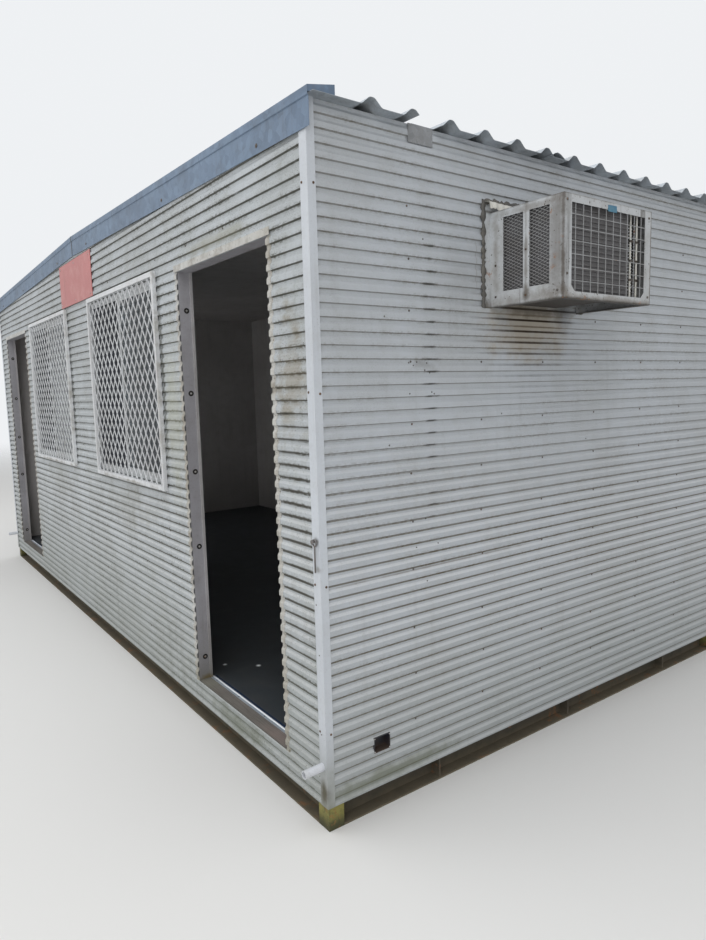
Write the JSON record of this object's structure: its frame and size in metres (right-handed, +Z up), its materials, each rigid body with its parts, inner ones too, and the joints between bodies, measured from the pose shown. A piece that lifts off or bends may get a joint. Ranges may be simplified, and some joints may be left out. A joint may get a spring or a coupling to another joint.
{
  "type": "portable site cabin",
  "caption": "Relocatable ribbed steel site cabin with open doorways, grilled sliding windows, low pitched roof and a caged air conditioner.",
  "frame": {"origin": "on the ground under the middle of the cabin, on the underside of the middle cross member", "axes": "+Z up, +X along the cabin towards the end wall with the air conditioner, the long front wall with the doorways faces -Y"},
  "size_m": [6.4238, 3.171, 2.82],
  "materials": {
    "cage_paint": "white paint on steel, stained",
    "chassis_paint": "dark brown paint, dirty",
    "cladding_paint": "white gloss paint on ribbed steel, dirt in the ribs",
    "cover_paint": "white paint on folded steel, scuffed",
    "deck_timber": "plain sawn timber",
    "fascia_zinc": "dull blue-grey zinc sheet",
    "floor_vinyl": "dark vinyl, worn",
    "foot_paint": "worn yellow paint",
    "grille_paint": "white paint on aluminium",
    "hook_steel": "dull steel, slightly rusty",
    "inlet_plastic": "black plastic",
    "jamb_paint": "grey paint, satin",
    "roof_zinc": "weathered zinc sheet",
    "sign_paint": "faded salmon red paint",
    "sill_timber": "weathered grey-brown timber",
    "spout_paint": "white paint",
    "threshold_aluminium": "bright worn aluminium",
    "unit_casing": "dull beige casing in shade",
    "wall_lining": "pale lining board, matt",
    "window_aluminium": "mill finish aluminium",
    "window_glass": "clear glass, dusty"
  },
  "bodies": {
    "cabin": {"ac_cage_frame": "cage_paint", "ac_cage_mesh": "cage_paint", "ac_cage_rods": "cage_paint", "ac_unit": "unit_casing", "back_cladding": "cladding_paint", "back_fascia": "fascia_zinc", "back_wall": "wall_lining", "ceiling_panel": "wall_lining", "chassis_cross_members": "chassis_paint", "chassis_end_rails": "chassis_paint", "chassis_side_rails": "chassis_paint", "corner_covers": "cover_paint", "corner_feet": "foot_paint", "corner_posts": "cover_paint", "corner_spouts": "spout_paint", "door_frames": "jamb_paint", "door_sill_planks": "sill_timber", "door_surrounds": "cover_paint", "floor_deck": "deck_timber", "floor_vinyl": "floor_vinyl", "front_cladding": "cladding_paint", "front_fascia": "fascia_zinc", "front_wall_end_piers": "wall_lining", "front_wall_left_bay": "wall_lining", "front_wall_over_doors": "wall_lining", "front_wall_right_bay": "wall_lining", "hook_pin": "hook_steel", "left_end_cladding": "cladding_paint", "left_end_wall": "wall_lining", "power_inlet": "inlet_plastic", "ridge_cap": "roof_zinc", "right_end_cladding": "cladding_paint", "right_end_wall": "wall_lining", "roof_edge_patch": "roof_zinc", "roof_front_strip_right": "roof_zinc", "roof_purlins": "deck_timber", "roof_sheets_left": "roof_zinc", "roof_sheets_right": "roof_zinc", "security_grille_left": "grille_paint", "security_grille_right": "grille_paint", "sign_board": "sign_paint", "threshold_strips": "threshold_aluminium", "window_frame_left": "window_aluminium", "window_frame_right": "window_aluminium", "window_glass_left": "window_glass", "window_glass_right": "window_glass"},
    "hook": {"cabin_hook": "hook_steel"}
  },
  "joints": [
    {"name": "hook_swing", "type": "hinge", "parent": "cabin", "child": "hook", "pos_m": [2.98, -1.509, 1.146], "axis": [0, -1, 0], "range_deg": [-110, 110]}
  ]
}
